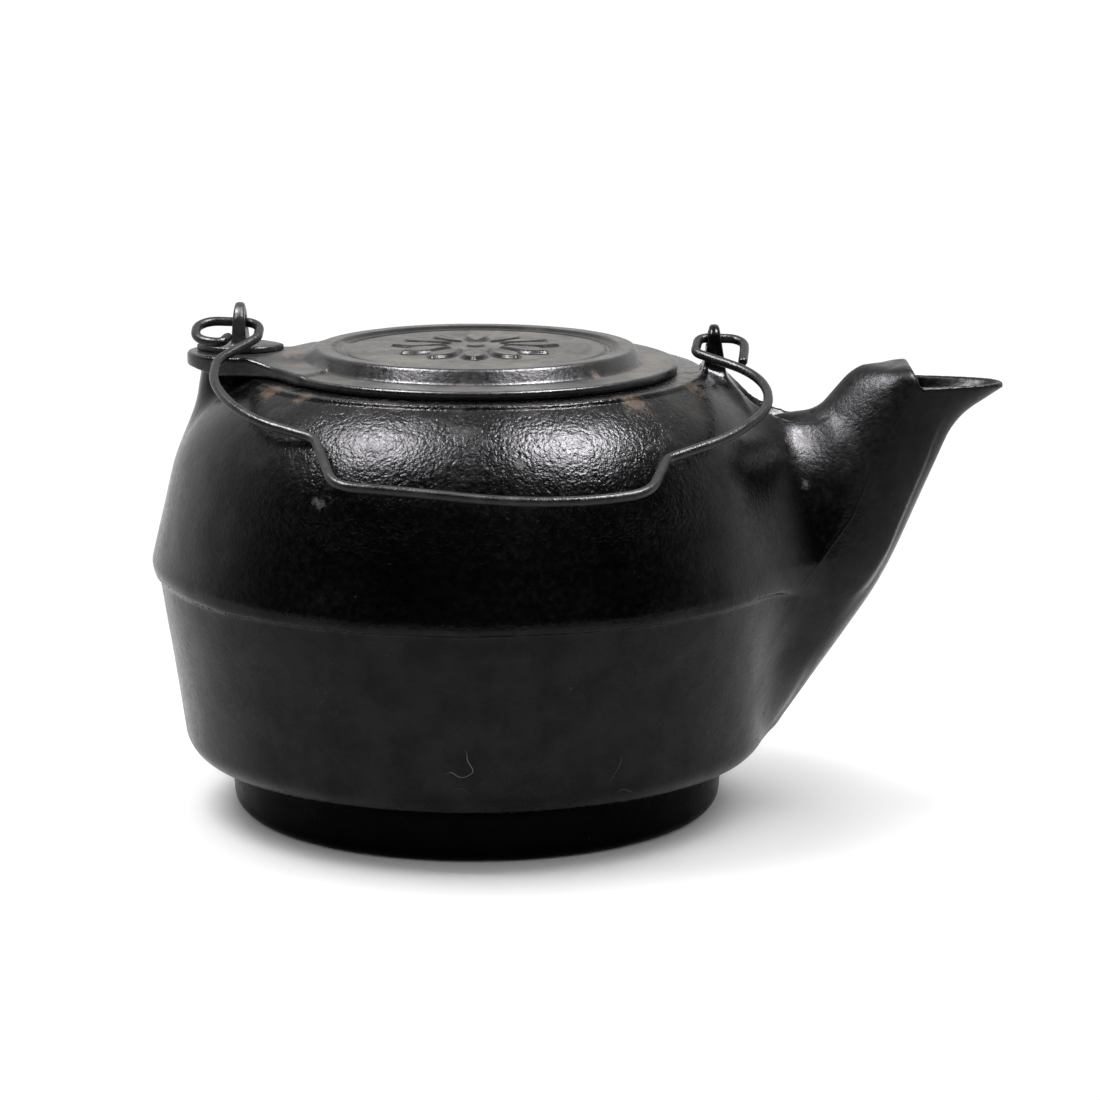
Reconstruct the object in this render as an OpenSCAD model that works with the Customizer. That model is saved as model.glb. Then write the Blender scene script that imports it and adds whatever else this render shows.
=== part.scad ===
// Cast iron stove kettle with a swivelling lid, a rear pivot ear and a loose wire bail.
// The spout points along +X, the kettle stands on Z = 0, and the origin is the centre of its foot.

/* [Body casting] */
// outer diameter of the foot ring that sits in the stove hole
foot_d = 209; // [160:1:250]
// height of the foot wall
foot_h = 22; // [12:1:34]
// widening of the foot wall from bottom to top, on the radius
foot_flare = 1.6; // [0:0.1:4]
// rounding of the foot's bottom edge
foot_round = 7; // [3:0.5:10]
// diameter of the lower bowl at its bottom corner
bowl_d = 248.6; // [200:0.2:290]
// rise of the bowl's underside from the foot to its corner
bowl_rise = 4.8; // [2:0.2:10]
// rounding of the bowl's bottom corner
bowl_round = 13; // [4:0.5:16]
// diameter of the bowl just under the parting line
belt_d = 270.4; // [220:0.2:310]
// height of the parting line, where the dome steps out over the bowl
belt_z = 102.5; // [80:0.5:130]
// diameter of the dome at its widest
dome_d = 276.8; // [224:0.2:318]
// height of the dome's widest place above the parting line
dome_rise = 5.5; // [3:0.5:12]
// diameter where the dome's side and its top would cross
shoulder_d = 246; // [210:0.2:290]
// height of that crossing point
shoulder_z = 173.1; // [150:0.5:200]
// radius of the shoulder
shoulder_round = 62; // [30:1:66]
// height of the mouth collar
collar_z = 188; // [170:1:215]
// outer diameter of the mouth collar
collar_d = 194; // [160:1:220]
// diameter of the mouth opening
mouth_d = 158; // [120:1:180]
// wall of the casting
wall = 3; // [2.5:0.25:5]
// thickness of the flat bottom
bottom_t = 4; // [3:0.25:8]

/* [Spout] */
// reach of the pouring lip from the centre of the kettle
spout_reach = 224.4; // [200:0.1:260]
// height of the pouring lip's tip
spout_tip_z = 180.8; // [165:0.1:200]
// level of the open beak's two lips
spout_lip_z = 183; // [168:0.5:200]
// width of the spout at the beak
spout_lip_w = 40; // [28:1:56]
// width of the spout where it leaves the body
spout_root_w = 62; // [44:1:80]
// height of the flat bridge over the spout
bridge_z = 191.3; // [180:0.1:210]
// distance of the bridge's front face from the centre, at the lips
bridge_x = 188; // [175:0.5:200]
// slope of the bridge's front face, in degrees
bridge_slope = 27; // [0:1:45]
// length of the flat bridge
bridge_len = 24.5; // [12:0.5:30]
// height of the neck between the dome and the spout
neck_z = 170.8; // [160:0.2:180]
// length of the beak's flared floor
beak_len = 20; // [12:1:30]
// rise of the beak's floor towards its tip, in degrees
beak_rise = 33.2; // [15:0.1:45]

/* [Lid] */
// diameter of the lid's flange
lid_d = 172; // [162:1:190]
// thickness of the flange
lid_t = 3.7; // [2.5:0.1:6]
// diameter of the raised disc at its foot
disc_d = 142; // [110:1:150]
// diameter of the raised disc at its top
disc_top_d = 134; // [100:1:144]
// height of the raised disc above the flange
disc_h = 6.4; // [3:0.2:12]
// width of the ring round the disc's top
ring_w = 7.5; // [4:0.5:12]
// depth of the recess inside the ring
recess_t = 1.3; // [0.5:0.1:3]
// number of petals in the rosette
petals = 12; // [6:1:16]
// length of a petal
petal_len = 27; // [16:1:36]
// width of a petal
petal_w = 9; // [5:0.5:14]
// height of a petal
petal_h = 0.9; // [0.4:0.1:2]
// diameter of the knob in the middle of the rosette
rosette_hub_d = 9; // [5:0.5:14]
// diameter of the lid's pivot lug
lug_d = 45; // [36:1:54]
// height of the lug's top above the flange
lug_rise = 4.4; // [2:0.2:8]
// clearance between the lid and what it slides on
lid_gap = 0.3; // [0.2:0.05:1]

/* [Rear ear] */
// distance of the rear ear from the centre of the kettle
rear_x = 99.8; // [96:0.2:106]
// diameter of the boss at its top
boss_d = 33; // [26:0.5:38]
// growth of the boss's diameter down to the shoulder
boss_flare = 9; // [2:0.5:16]
// diameter of the ear's shank, which is the lid's pivot pin
shank_d = 9; // [7:0.5:12]
// running clearance of the lid round the shank
pin_gap = 0.1; // [0.02:0.01:0.4]
// height of the rear eye above the lug
rear_eye_rise = 12; // [10:0.5:18]
// radius of the ear round the rear eye
rear_ear_r = 8.5; // [7:0.5:12]
// thickness of the rear ear at its top
rear_ear_t = 3.9; // [3:0.1:7]
// thickness of the rear ear at its foot
rear_ear_foot_t = 7.2; // [5:0.1:10]
// length of the leaf-shaped foot plate
leaf_len = 37; // [30:0.5:42]
// width of the foot plate
leaf_w = 26; // [20:0.5:34]
// thickness of the foot plate
leaf_t = 2; // [1.4:0.1:4]
// diameter of the washer under the boss
washer_d = 20; // [16:0.5:26]
// thickness of the washer
washer_t = 2; // [1:0.1:3]
// diameter of the riveted end under the washer
rivet_d = 14; // [11:0.5:18]
// height of the riveted end
rivet_h = 3; // [2:0.1:4]

/* [Front ear] */
// distance of the front ear from the centre of the kettle
front_x = 101.4; // [96:0.2:110]
// height of the front eye above the mouth collar
front_eye_rise = 13.5; // [11:0.5:20]
// radius of the ear round the front eye
front_ear_r = 6.2; // [5.5:0.1:10]
// thickness of the front ear at its top
front_ear_t = 4.4; // [3:0.1:8]
// thickness of the front ear where it meets the shoulder
front_ear_foot_t = 13; // [8:0.5:20]
// width of the front ear where it meets the shoulder
front_ear_foot_w = 26; // [16:0.5:36]

/* [Bail] */
// thickness of the bail's wire
wire_d = 4; // [3:0.1:6]
// width of the gap round the wire in each eye
eye_gap = 1; // [0.3:0.1:2]
// reach of the bail's grip from its hinge line
bail_reach = 149.8; // [130:0.2:170]
// clearance between the resting bail and the dome
bail_gap = 0.8; // [0.3:0.1:3]
// reach of the bail's bows before the upper bends
bow_reach = 65.5; // [60:0.5:80]
// radius of the wire's small bends
wire_bend = 6; // [5:0.5:8]
// width of the ring at the bail's rear end
ring_len = 27; // [25:0.5:34]
// reach of that ring from the hinge line
ring_reach = 20.5; // [17:0.5:25]

/* [Hidden] */
$fn = 72;
eps = 0.01;
iron = "#4b4a49";
worn_iron = "#6a6764";

foot_r = foot_d / 2;
bowl_r = bowl_d / 2;
belt_r = belt_d / 2;
dome_r = dome_d / 2;
mouth_r = mouth_d / 2;
// the boss stands this much above the mouth collar
lug_seat = 1.9;
boss_z = collar_z + lug_seat;
lid_z = collar_z + lid_gap;
lid_top_z = lid_z + lid_t;
lug_top_z = lid_top_z + lug_rise;
leaf_z = lug_top_z + lid_gap;
disc_z = lid_top_z + disc_h;
rear_eye_z = lug_top_z + rear_eye_rise;
front_eye_z = collar_z + front_eye_rise;
eye_r = wire_d / 2 + eye_gap;
// length of wire that is straight and round in each eye
wire_pin = 6;
eye_span = norm([rear_x + front_x, rear_eye_z - front_eye_z]);
eye_tilt = atan2(rear_eye_z - front_eye_z, rear_x + front_x);

// ---- outlines ----
function unit(v) = v / norm(v);
function turn(p, i) =
    let (a = p[i] - p[i - 1], b = p[i + 1] - p[i])
    atan2(a.x * b.y - a.y * b.x, a.x * b.x + a.y * b.y);
// a corner's radius is limited by the shorter of the two edges that it joins
function lone_bend(p, r, i) = min(r[i], 0.96 * min(norm(p[i] - p[i - 1]), norm(p[i + 1] - p[i])) / tan(abs(turn(p, i)) / 2));
function lone_tangent(p, r, i) =
    i == 0 || i == len(p) - 1 || r[i] == 0 ? 0 : lone_bend(p, r, i) * tan(abs(turn(p, i)) / 2);
// two corners that share an edge shrink together when they would overlap on it
function edge_share(p, r, i) =
    min(1, 0.96 * norm(p[i + 1] - p[i]) / max(eps, lone_tangent(p, r, i) + lone_tangent(p, r, i + 1)));
function bend(p, r, i) = lone_bend(p, r, i) * min(edge_share(p, r, i - 1), edge_share(p, r, i));
function tangent(p, r, i) = bend(p, r, i) * tan(abs(turn(p, i)) / 2);
function corner(p, r, i, steps) =
    let (
        s = sign(turn(p, i)),
        d = unit(p[i] - p[i - 1]),
        b = bend(p, r, i),
        a = p[i] - d * tangent(p, r, i),
        c = a + s * b * [-d.y, d.x],
        a0 = atan2(a.y - c.y, a.x - c.x)
    )
    [for (k = [0:steps]) c + b * [cos(a0 + k * turn(p, i) / steps), sin(a0 + k * turn(p, i) / steps)]];
function rounded(p, r, steps) = [
    for (i = [0:len(p) - 1])
        each (i == 0 || i == len(p) - 1 || r[i] == 0 ? [p[i]] : corner(p, r, i, steps))
];
function meet(p, u, q, v) =
    let (s = ((q.x - p.x) * v.y - (q.y - p.y) * v.x) / (u.x * v.y - u.y * v.x))
    p + s * u;
// the same outline moved to its left by t
function inset(p, t) = [
    for (i = [0:len(p) - 1])
        let (
            u = unit(p[min(i + 1, len(p) - 1)] - p[min(i, len(p) - 2)]),
            v = unit(p[max(i, 1)] - p[max(i - 1, 0)]),
            nu = [-u.y, u.x],
            nv = [-v.y, v.x]
        )
        norm(u - v) < eps ? p[i] + t * nu : meet(p[i] + t * nu, u, p[i] + t * nv, v)
];

// solid skin over a row of rings, each with n points
module tube(rings, n) {
    m = len(rings) - 1;
    polyhedron(
        points = [for (r = rings) each r],
        faces = concat(
            [[for (k = [0:n - 1]) k]],
            [for (i = [0:m - 1]) for (k = [0:n - 1]) each [
                [i * n + k, (i + 1) * n + (k + 1) % n, i * n + (k + 1) % n],
                [i * n + k, (i + 1) * n + k, (i + 1) * n + (k + 1) % n]
            ]],
            [[for (k = [n - 1:-1:0]) m * n + k]]
        )
    );
}

// ---- body ----
body_line = [
    [0, 0],
    [foot_r, 0],
    [foot_r + foot_flare, foot_h],
    [bowl_r, foot_h + bowl_rise],
    [belt_r, belt_z],
    [belt_r + (dome_r - belt_r) * 0.6, belt_z + 1],
    [dome_r, belt_z + dome_rise],
    [shoulder_d / 2, shoulder_z],
    [collar_d / 2, collar_z - 0.5]
];
body_round = [0, foot_round, 3, bowl_round, 0, 0, 6, shoulder_round, 0];
inner_line = inset(body_line, wall);
inner_round = [0, foot_round - wall / 2, 3 + wall, bowl_round - wall, 0, 0, 6, shoulder_round - wall, 0];
// height of the inner wall under the shoulder, at x from the centre
function inner_z(x) = max([for (q = rounded(inner_line, inner_round, 40)) if (q.x > x) q.y]);
// the boss's underside is low enough for the washer to lie flat on it, clear of the wall
boss_under_z = min(collar_z - wall - 4.5, inner_z(rear_x + washer_d / 2 + lid_gap));

module body_outside() {
    rotate_extrude()
    polygon(concat(
        rounded(body_line, body_round, 7),
        [[collar_d / 2 - 0.6, collar_z], [0, collar_z]]
    ));
}

module body_inside() {
    rotate_extrude()
    polygon(concat(
        [[0, bottom_t], [inner_line[1].x - foot_round, bottom_t]],
        [for (q = rounded(inner_line, inner_round, 7)) if (q.y > bottom_t + 0.5 && q.x > mouth_r) q],
        [[mouth_r, collar_z - wall], [0, collar_z - wall]]
    ));
    translate([0, 0, collar_z - wall - 1])
    cylinder(r = mouth_r, h = wall + 2);
}

// ---- spout ----
// front edge of the spout in the X-Z plane, from the bowl's corner to the tip
front_knee = [
    bowl_r + (belt_r - bowl_r) * 0.9 + 40.8,
    belt_z - 3.4
];
front_turn = [spout_reach - beak_len, spout_tip_z - beak_len * tan(beak_rise)];
front_edge = rounded(
    [
        [bowl_r - 6.5, foot_h + bowl_rise + 1.4],
        [bowl_r + 5.5, foot_h + bowl_rise + 7],
        front_knee,
        front_turn,
        [spout_reach, spout_tip_z]
    ],
    [0, 8, 180, 34, 0], 8
);
// back edge, from inside the bowl over the neck to the bridge
back_edge = rounded(
    [
        [belt_r * 0.46, belt_z * 0.55],
        [belt_r * 0.86, neck_z - 1.2],
        [belt_r + 10.3, neck_z],
        [bridge_x - bridge_len + 1.5, bridge_z + 4],
        [bridge_x, bridge_z + 4]
    ],
    [0, 8, 14, 5, 0], 8
);
function run(p, i = 0) = i >= len(p) - 1 ? 0 : norm(p[i + 1] - p[i]) + run(p, i + 1);
function at(p, s, i = 0) =
    let (d = norm(p[i + 1] - p[i]))
    s <= d || i == len(p) - 2 ? p[i] + (p[i + 1] - p[i]) * min(1, s / d) : at(p, s - d, i + 1);
function ease(t) = (1 - cos(180 * max(0, min(1, t)))) / 2;
function spout_half_w(f) = spout_lip_w / 2 + (spout_root_w - spout_lip_w) / 2 * (1 - ease((f - 0.3) / 0.7));
function crease(f) = 0.38 + 0.52 * pow(max(0, (f - 0.5) / 0.5), 2);
function spout_ring(f, t) =
    let (
        a = at(front_edge, f * run(front_edge)),
        b = at(back_edge, f * run(back_edge)),
        d = unit(b - a),
        p = a + d * t,
        q = b - d * t,
        c = a + (b - a) * crease(f),
        w = spout_half_w(f) - t
    )
    [for (k = [0:spout_sides - 1])
        let (
            g = k * 360 / spout_sides,
            m = cos(g) > 0 ? c + (p - c) * cos(g) : c - (q - c) * cos(g)
        )
        [m.x, w * sin(g), m.y]
    ];
spout_steps = 12;
spout_sides = 20;
module spout_loft(t) {
    // the last ring is raised, so the beak ends in an upright front
    tube(
        concat(
            [for (i = [0:spout_steps]) spout_ring(i / spout_steps, t)],
            [[for (q = spout_ring(1, t)) q + [0, 0, spout_lip_w / 4]]]
        ),
        spout_sides
    );
}

module spout_outside() {
    difference() {
        spout_loft(0);
        // flat top of the bridge
        translate([0, -spout_root_w, bridge_z])
        cube([spout_reach * 2, spout_root_w * 2, spout_reach]);
        // open beak in front of the bridge
        rotate([90, 0, 0])
        linear_extrude(spout_root_w * 2, center = true)
        polygon([
            [bridge_x, spout_lip_z],
            [bridge_x - (bridge_z - spout_lip_z + 1) * tan(bridge_slope), bridge_z + 1],
            [spout_reach * 2, bridge_z + 1],
            [spout_reach * 2, spout_lip_z]
        ]);
    }
}

module spout_inside() {
    difference() {
        spout_loft(wall);
        translate([0, -spout_root_w, bridge_z - wall])
        cube([bridge_x, spout_root_w * 2, spout_reach]);
    }
}

// ---- ears ----
// upright ear seen along X: round top over a widening foot
module ear_outline(r, foot_w, drop) {
    circle(r = r);
    polygon([[-r, 0], [r, 0], [foot_w / 2, -drop], [-foot_w / 2, -drop]]);
}
module ear_blade(r, t, foot_t, foot_w, drop) {
    intersection() {
        translate([-foot_t, 0, 0])
        rotate([90, 0, 90])
        linear_extrude(foot_t * 2)
        ear_outline(r, foot_w, drop);
        translate([0, foot_w, 0])
        rotate([90, 0, 0])
        linear_extrude(foot_w * 2)
        polygon([[-t / 2, r + eps], [t / 2, r + eps], [foot_t / 2, -drop - eps], [-foot_t / 2, -drop - eps]]);
    }
}

front_ear_drop = front_eye_z - shoulder_z - 4;
module front_ear() {
    translate([front_x, 0, front_eye_z])
    ear_blade(front_ear_r, front_ear_t, front_ear_foot_t, front_ear_foot_w, front_ear_drop);
}

module boss() {
    translate([-rear_x, 0, boss_under_z])
    cylinder(d = boss_d, h = boss_z - boss_under_z);
    translate([-rear_x, 0, shoulder_z - 8])
    cylinder(d1 = boss_d + boss_flare, d2 = boss_d, h = boss_z - shoulder_z + 4);
}

module body_filled() {
    body_outside();
    boss();
    front_ear();
}

// the hollow, with the boss left solid where it passes through the wall
module hollow() {
    difference() {
        union() {
            body_inside();
            spout_inside();
        }
        translate([-rear_x, 0, boss_under_z])
        cylinder(d = boss_d, h = boss_z);
    }
}

module kettle_body() {
    color(iron)
    difference() {
        body_filled();
        hollow();
        // eye for the bail's hook
        translate([front_x, 0, front_eye_z])
        rotate([0, 90, 0])
        cylinder(r = eye_r, h = front_ear_foot_t * 2, center = true);
        // bore for the ear's shank
        translate([-rear_x, 0, boss_under_z - 1])
        cylinder(d = shank_d, h = boss_z - boss_under_z + 2);
    }
}

// the spout is one casting with the body, from the body's outer face outwards
module spout() {
    color(iron)
    difference() {
        spout_outside();
        spout_inside();
        body_outside();
        front_ear();
    }
}

// ---- lid ----
module petal() {
    // two equal arcs that cross at the petal's points
    r = (pow(petal_len / 2, 2) + pow(petal_w / 2, 2)) / petal_w;
    translate([rosette_hub_d / 2 + petal_len / 2 - 1, 0, 0])
    linear_extrude(petal_h + eps)
    intersection() {
        translate([0, r - petal_w / 2])
        circle(r = r);
        translate([0, petal_w / 2 - r])
        circle(r = r);
    }
}

module lid() {
    recess_z = disc_z - recess_t;
    color(worn_iron)
    difference() {
        union() {
            // flange, raised disc and its ring, turned in one outline
            rotate_extrude()
            polygon([
                [0, lid_z],
                [lid_d / 2 - 0.8, lid_z],
                [lid_d / 2, lid_z + 0.8],
                [lid_d / 2, lid_top_z - 1],
                [lid_d / 2 - 1, lid_top_z],
                [disc_d / 2, lid_top_z],
                [disc_top_d / 2 + 0.6, disc_z - 1.2],
                [disc_top_d / 2 - 0.8, disc_z],
                [disc_top_d / 2 - ring_w + 1.5, disc_z],
                [disc_top_d / 2 - ring_w, recess_z],
                [0, recess_z]
            ]);
            // rosette
            translate([0, 0, recess_z - eps]) {
                for (i = [0:petals - 1])
                    rotate([0, 0, i * 360 / petals])
                    petal();
                cylinder(d = rosette_hub_d, h = petal_h + 0.3);
            }
            // pivot lug
            translate([-rear_x, 0, lid_z])
            cylinder(d = lug_d, h = lug_top_z - lid_z);
            translate([0, 0, lid_z])
            linear_extrude(lug_top_z - lid_z)
            polygon([
                [-rear_x, -lug_d / 2],
                [-rear_x, lug_d / 2],
                [-disc_top_d / 2 + 2, lug_d / 2 + 5],
                [-disc_top_d / 2 + 2, -lug_d / 2 - 5]
            ]);
        }
        // hollow under the raised disc, which leaves the lid the same thickness all over
        translate([0, 0, lid_z - 1])
        cylinder(d = disc_top_d - 2 * lid_t, h = recess_z - lid_t - lid_z + 1);
        // seat over the boss
        translate([-rear_x, 0, lid_z - 1])
        cylinder(d = boss_d + 2, h = boss_z + lid_gap - lid_z + 1);
        // bore round the shank
        translate([-rear_x, 0, lid_z - 1])
        cylinder(d = shank_d + 2 * pin_gap, h = lug_top_z - lid_z + 2);
    }
}

// ---- rear ear and its washer ----
module leaf() {
    r = (pow(leaf_len / 2, 2) + pow(leaf_w / 2, 2)) / leaf_w;
    linear_extrude(leaf_t)
    intersection() {
        translate([0, r - leaf_w / 2])
        circle(r = r);
        translate([0, leaf_w / 2 - r])
        circle(r = r);
    }
}

module rear_ear() {
    drop = rear_eye_z - leaf_z - leaf_t / 2;
    color(worn_iron)
    translate([-rear_x, 0, 0])
    difference() {
        union() {
            translate([0, 0, leaf_z])
            leaf();
            translate([0, 0, rear_eye_z])
            ear_blade(rear_ear_r, rear_ear_t, rear_ear_foot_t, rear_ear_r * 2 + 2, drop);
            // shank through the lug and the boss
            translate([0, 0, boss_under_z - washer_t - rivet_h / 2])
            cylinder(d = shank_d, h = leaf_z - boss_under_z + washer_t + rivet_h / 2 + leaf_t / 2);
            // riveted end
            translate([0, 0, boss_under_z - washer_t - rivet_h])
            cylinder(d1 = rivet_d - 3, d2 = rivet_d, h = rivet_h);
        }
        translate([0, 0, rear_eye_z])
        rotate([0, 90, 0])
        cylinder(r = eye_r, h = rear_ear_foot_t * 2, center = true);
    }
}

module ear_washer() {
    color(worn_iron)
    translate([-rear_x, 0, boss_under_z - washer_t])
    difference() {
        cylinder(d = washer_d, h = washer_t);
        translate([0, 0, -1])
        cylinder(d = shank_d, h = washer_t + 2);
    }
}

// ---- bail ----
// centre line of the wire in the bail's own plane: x along the hinge line from the rear eye, y away from it
wire_line = [
    [-3.5, ring_reach * 0.68],
    [-6.2, ring_reach],
    [9.7 - ring_len, ring_reach * 0.93],
    [8.8 - ring_len, 0],
    [8.8, 0],
    [8.6, ring_reach * 0.71],
    [-6.4, bow_reach * 0.56],
    [-6.6, bow_reach * 0.86],
    [3, bow_reach * 1.2],
    [eye_span * 0.082, bail_reach * 0.613],
    [eye_span * 0.192, bail_reach * 0.693],
    [eye_span * 0.24, bail_reach * 0.953],
    [eye_span * 0.378, bail_reach * 0.973],
    [eye_span * 0.6, bail_reach * 1.012],
    [eye_span * 0.747, bail_reach * 0.987],
    [eye_span * 0.857, bail_reach * 0.933],
    [eye_span * 0.891, bail_reach * 0.74],
    [eye_span * 1.021, bail_reach * 0.603],
    [eye_span * 1.103, bow_reach * 0.985],
    [eye_span * 1.103, bow_reach * 0.535],
    [eye_span - 8.5, ring_reach * 0.71],
    [eye_span - 6.5, 0],
    [eye_span + 12.7, 0],
    [eye_span + 12.5, 10],
    [eye_span + 11.3, 23]
];
wire_round = [
    0, wire_bend / 2, wire_bend + 2.5, wire_bend + 3, wire_bend + 0.8, 10, 16, 40, 60, 40, 9,
    12, 90, 150, 100, 17, 9, 70, 40, 34, wire_bend - 1, wire_bend - 1, wire_bend + 0.5, 40, 0
];
wire_path = rounded(wire_line, wire_round, 4);
wire_sides = 12;
// height of the dome over its radius
dome_line = [for (q = rounded(body_line, body_round, 12)) if (q.y > belt_z + dome_rise) q];
function dome_gap(p) =
    let (
        r = norm([p.x, p.y]),
        h = lookup(r, dome_line),
        s = lookup(r - 1, dome_line) - h
    )
    (p.z - h) / norm([1, s]) - wire_d / 2;
// place of a point of the wire when the bail hangs g degrees below level
function bail_point(q, g) = [
    q.x * cos(eye_tilt) - q.y * sin(g) * sin(eye_tilt) - rear_x,
    -q.y * cos(g),
    rear_eye_z - q.x * sin(eye_tilt) - q.y * sin(g) * cos(eye_tilt)
];
function rest_gap(g) = min([for (q = wire_path) if (q.y > bow_reach) dome_gap(bail_point(q, g))]);
// the bail falls until it rests on the dome, found by halving
function rest_angle(lo, hi, n) =
    let (g = (lo + hi) / 2)
    n == 0 ? lo : rest_gap(g) > bail_gap ? rest_angle(g, hi, n - 1) : rest_angle(lo, g, n - 1);
bail_rest = rest_angle(0, 45, 12);
function wire_turn(i) = i == 0 || i == len(wire_path) - 1 ? 0 : turn(wire_path, i);
// ring of points square to the wire, stretched in a bend so that the wire keeps its thickness
function wire_ring(i) =
    let (
        d = unit(wire_path[max(i, 1)] - wire_path[max(i, 1) - 1]),
        g = atan2(d.y, d.x) + wire_turn(i) / 2,
        w = wire_d / 2 / cos(wire_turn(i) / 2)
    )
    [for (k = [0:wire_sides - 1])
        let (h = (k + 0.5) * 360 / wire_sides)
        [
            wire_path[i].x - sin(g) * w * cos(h),
            wire_path[i].y + cos(g) * w * cos(h),
            wire_d / 2 * sin(h)
        ]
    ];

module bail() {
    color(iron)
    translate([-rear_x, 0, rear_eye_z])
    rotate([0, eye_tilt, 0])
    rotate([180 + bail_rest, 0, 0])
    union() {
        tube([for (i = [0:len(wire_path) - 1]) wire_ring(i)], wire_sides);
        // round stretches that turn in the two eyes
        for (x = [0, eye_span])
            translate([x - wire_pin / 2, 0, 0])
            rotate([0, 90, 0])
            cylinder(d = wire_d + 0.06, h = wire_pin);
    }
}

kettle_body();
spout();
lid();
rear_ear();
ear_washer();
bail();
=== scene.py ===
import bpy
import math
import numpy as np
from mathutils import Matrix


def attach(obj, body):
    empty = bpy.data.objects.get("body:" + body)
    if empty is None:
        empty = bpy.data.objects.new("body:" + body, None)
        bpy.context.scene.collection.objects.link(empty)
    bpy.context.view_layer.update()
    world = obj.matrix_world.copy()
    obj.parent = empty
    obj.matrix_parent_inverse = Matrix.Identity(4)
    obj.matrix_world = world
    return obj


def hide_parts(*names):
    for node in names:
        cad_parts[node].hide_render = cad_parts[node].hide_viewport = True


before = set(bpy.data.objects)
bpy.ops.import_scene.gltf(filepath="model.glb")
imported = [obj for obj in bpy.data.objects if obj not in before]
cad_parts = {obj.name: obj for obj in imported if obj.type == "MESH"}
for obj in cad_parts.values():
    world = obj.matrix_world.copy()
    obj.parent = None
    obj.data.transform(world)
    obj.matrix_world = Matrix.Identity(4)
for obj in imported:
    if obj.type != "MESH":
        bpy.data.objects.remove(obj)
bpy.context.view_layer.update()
S = 0.001  # lengths below are in millimetres

# ---------------------------------------------------------------- sizes, as in the CAD part
WALL = 3.0
BELT_Z, BELT_R, DOME_R = 102.5, 135.2, 138.4
COLLAR_Z, COLLAR_R, MOUTH_R = 188.0, 97.0, 79.0
LIP_Z, TIP = 183.0, (224.4, 180.8)
BRIDGE_Z, BRIDGE_X = 191.3, 188.0
LID_Z, LID_TOP, LUG_TOP, DISC_Z = 188.3, 192.0, 196.4, 198.4
LID_R, LUG_R, RECESS_DEPTH, LID_WALL = 86, 22.5, 1.3, 3.4
REAR_X, FRONT_X = 99.8, 101.4
BOSS_Z, BOSS_UNDER = 189.9, 174.24
REAR_EYE, FRONT_EYE, EYE_R = 208.4, 201.5, 3.0
SHANK_R = 4.5
LEAF_GAP, LEAF_T = 0.3, 2.6
LEAF_LONG, LEAF_WIDE = 18.5, 13.0  # half lengths of the leaf-shaped foot plate
WIRE_R = 2.0
REACH, BOW, RING = 149.8, 65.5, 20.5  # the bail's grip, its bows and its rear ring, from the hinge line
BAIL_REST = math.radians(17.9)  # how far below level the bail lies on the dome


# ---------------------------------------------------------------- outlines
def unit(v):
    v = np.asarray(v, float)
    return v / np.linalg.norm(v)


def rounded(pts, radii, steps=10):
    """Polyline with its corners turned into arcs."""
    p = [np.array(q, float) for q in pts]
    out = [p[0]]
    edge = [np.linalg.norm(b - a) for a, b in zip(p, p[1:])]
    cut, angs = [0.0] * len(p), [0.0] * len(p)
    for i in range(1, len(p) - 1):
        u, v = unit(p[i] - p[i - 1]), unit(p[i + 1] - p[i])
        angs[i] = math.atan2(u[0] * v[1] - u[1] * v[0], u @ v)
        cut[i] = min(radii[i] * math.tan(abs(angs[i]) / 2), 0.96 * min(edge[i - 1], edge[i]))
    # two corners that share an edge shrink together when they would overlap on it
    share = [min(1, 0.96 * e / max(1e-6, cut[i] + cut[i + 1])) for i, e in enumerate(edge)]
    for i in range(1, len(p) - 1):
        if radii[i] == 0:
            out.append(p[i])
            continue
        u, ang = unit(p[i] - p[i - 1]), angs[i]
        t = cut[i] * min(share[i - 1], share[i])
        r = t / math.tan(abs(ang) / 2) if ang else radii[i]
        a = p[i] - u * t
        c = a + math.copysign(r, ang) * np.array([-u[1], u[0]])
        a0 = math.atan2(a[1] - c[1], a[0] - c[0])
        for k in range(steps + 1):
            g = a0 + ang * k / steps
            out.append(c + r * np.array([math.cos(g), math.sin(g)]))
    out.append(p[-1])
    return np.array(out)


def along(path, n):
    """n points at equal spacing along a polyline."""
    seg = np.linalg.norm(np.diff(path, axis=0), axis=1)
    s = np.r_[0, np.cumsum(seg)]
    t = np.linspace(0, s[-1], n)
    return np.stack([np.interp(t, s, path[:, k]) for k in range(path.shape[1])], 1)


def seg_dist(x, y, a, b):
    """Distance from points to the line piece from a to b."""
    abx, aby = b[0] - a[0], b[1] - a[1]
    s = np.clip(((x - a[0]) * abx + (y - a[1]) * aby) / max(abx * abx + aby * aby, 1e-9), 0, 1)
    return np.hypot(x - a[0] - s * abx, y - a[1] - s * aby)


def outline_field(poly, x, y, axis_open=True):
    """Signed distance to a closed outline; an edge on the turning axis is no boundary."""
    d = np.full(x.shape, 1e3)
    inside = np.zeros(x.shape, bool)
    for a, b in zip(poly, np.roll(poly, -1, axis=0)):
        if not (axis_open and a[0] <= 0 and b[0] <= 0):
            d = np.minimum(d, seg_dist(x, y, a, b))
        if a[1] != b[1]:
            hit = ((a[1] > y) != (b[1] > y)) & (x < (b[0] - a[0]) * (y - a[1]) / (b[1] - a[1]) + a[0])
            inside ^= hit
    return np.where(inside, -d, d)


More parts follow.
